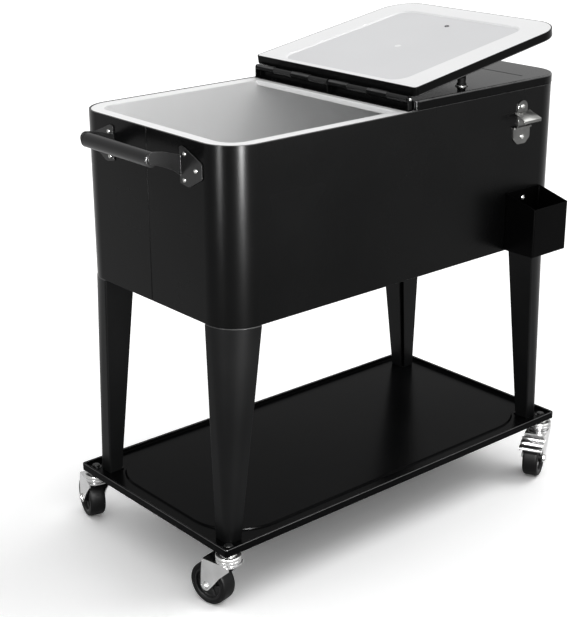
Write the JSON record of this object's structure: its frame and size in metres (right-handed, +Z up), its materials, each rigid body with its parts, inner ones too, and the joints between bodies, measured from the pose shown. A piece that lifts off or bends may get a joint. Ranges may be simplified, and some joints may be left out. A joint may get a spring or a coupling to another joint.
{
  "type": "rolling patio cooler",
  "caption": "Patio drinks cooler: insulated sheet-metal tub with folding lids, on tapered legs with a shelf tray and swivel casters, an opener and a cap catcher.",
  "frame": {"origin": "middle of the underside of the bounding box, on the floor", "axes": "+X along the tub from the open well to the shut one, +Y from the opener's wall to the back, +Z up"},
  "size_m": [0.91, 0.5407, 0.88],
  "materials": {
    "black_coat": "satin powder coat",
    "white_plastic": "soft gloss",
    "foam": "rigid foam",
    "dark_plastic": "satin",
    "rubber": "matt",
    "steel": "plain",
    "chrome": "bright plate"
  },
  "bodies": {
    "cooler": {"front_shell": "black_coat", "rear_shell": "black_coat", "bottom_panel": "black_coat", "inner_liner": "white_plastic", "foam_insulation": "foam", "drain_fitting": "dark_plastic", "hinge_bridge": "black_coat", "hinge_pin": "steel", "left_handle_grip": "dark_plastic", "left_handle_bracket_front": "black_coat", "left_handle_bracket_back": "black_coat", "right_handle_grip": "dark_plastic", "right_handle_bracket_front": "black_coat", "right_handle_bracket_back": "black_coat", "bottle_opener": "steel", "cap_catcher": "black_coat", "front_left_leg": "black_coat", "back_left_leg": "black_coat", "front_right_leg": "black_coat", "back_right_leg": "black_coat", "shelf_tray": "black_coat", "front_left_caster_stem": "steel", "back_left_caster_stem": "steel", "front_right_caster_stem": "steel", "back_right_caster_stem": "steel"},
    "right_lid": {"right_lid_shell": "black_coat", "right_lid_liner": "white_plastic", "right_lid_foam": "foam", "right_lid_bumper_front": "rubber", "right_lid_bumper_back": "rubber"},
    "left_lid": {"left_lid_shell": "black_coat", "left_lid_liner": "white_plastic", "left_lid_foam": "foam", "left_lid_bumper_front": "rubber", "left_lid_bumper_back": "rubber"},
    "drain_cap": {"drain_cap": "dark_plastic"},
    "front_left_fork": {"front_left_caster_fork": "chrome", "front_left_caster_axle": "steel"},
    "front_left_wheel": {"front_left_caster_wheel": "rubber"},
    "back_left_fork": {"back_left_caster_fork": "chrome", "back_left_caster_axle": "steel"},
    "back_left_wheel": {"back_left_caster_wheel": "rubber"},
    "front_right_fork": {"front_right_caster_fork": "chrome", "front_right_caster_axle": "steel"},
    "front_right_wheel": {"front_right_caster_wheel": "rubber"},
    "front_right_pedal": {"front_right_brake_pedal": "chrome"},
    "back_right_fork": {"back_right_caster_fork": "chrome", "back_right_caster_axle": "steel"},
    "back_right_wheel": {"back_right_caster_wheel": "rubber"},
    "back_right_pedal": {"back_right_brake_pedal": "chrome"}
  },
  "joints": [
    {"name": "right_lid", "type": "hinge", "parent": "cooler", "child": "right_lid", "pos_m": [0, 0.00191, 0.7971], "axis": [0, -1, 0], "range_deg": [0, 170.5]},
    {"name": "left_lid", "type": "hinge", "parent": "right_lid", "child": "left_lid", "pos_m": [0, 0.00191, 0.7971], "axis": [0, 1, 0], "range_deg": [-170.5, 0]},
    {"name": "drain_cap", "type": "slide", "parent": "cooler", "child": "drain_cap", "axis": [0, 0, -1], "range_m": [0, 0.02]},
    {"name": "front_left_swivel", "type": "hinge", "parent": "cooler", "child": "front_left_fork", "pos_m": [-0.394, -0.19209, 0.09], "axis": [0, 0, 1], "continuous": true},
    {"name": "front_left_spin", "type": "hinge", "parent": "front_left_fork", "child": "front_left_wheel", "pos_m": [-0.401, -0.1578, 0.0375], "axis": [-0.9798, -0.2, 0], "continuous": true},
    {"name": "back_left_swivel", "type": "hinge", "parent": "cooler", "child": "back_left_fork", "pos_m": [-0.394, 0.19591, 0.09], "axis": [0, 0, 1], "continuous": true},
    {"name": "back_left_spin", "type": "hinge", "parent": "back_left_fork", "child": "back_left_wheel", "pos_m": [-0.38494, 0.22972, 0.0375], "axis": [-0.9659, 0.2589, 0], "continuous": true},
    {"name": "front_right_swivel", "type": "hinge", "parent": "cooler", "child": "front_right_fork", "pos_m": [0.394, -0.19209, 0.09], "axis": [0, 0, 1], "continuous": true},
    {"name": "front_right_spin", "type": "hinge", "parent": "front_right_fork", "child": "front_right_wheel", "pos_m": [0.36256, -0.20746, 0.0375], "axis": [0.4392, -0.8984, 0], "continuous": true},
    {"name": "front_right_brake", "type": "hinge", "parent": "front_right_fork", "child": "front_right_pedal", "pos_m": [0.36705, -0.20527, 0.0799], "axis": [0.4392, -0.8984, 0], "range_deg": [0, 4]},
    {"name": "back_right_swivel", "type": "hinge", "parent": "cooler", "child": "back_right_fork", "pos_m": [0.394, 0.19591, 0.09], "axis": [0, 0, 1], "continuous": true},
    {"name": "back_right_spin", "type": "hinge", "parent": "back_right_fork", "child": "back_right_wheel", "pos_m": [0.39752, 0.23073, 0.0375], "axis": [-0.9949, 0.1005, 0], "continuous": true},
    {"name": "back_right_brake", "type": "hinge", "parent": "back_right_fork", "child": "back_right_pedal", "pos_m": [0.39702, 0.22576, 0.0799], "axis": [-0.9949, 0.1005, 0], "range_deg": [0, 4]}
  ]
}
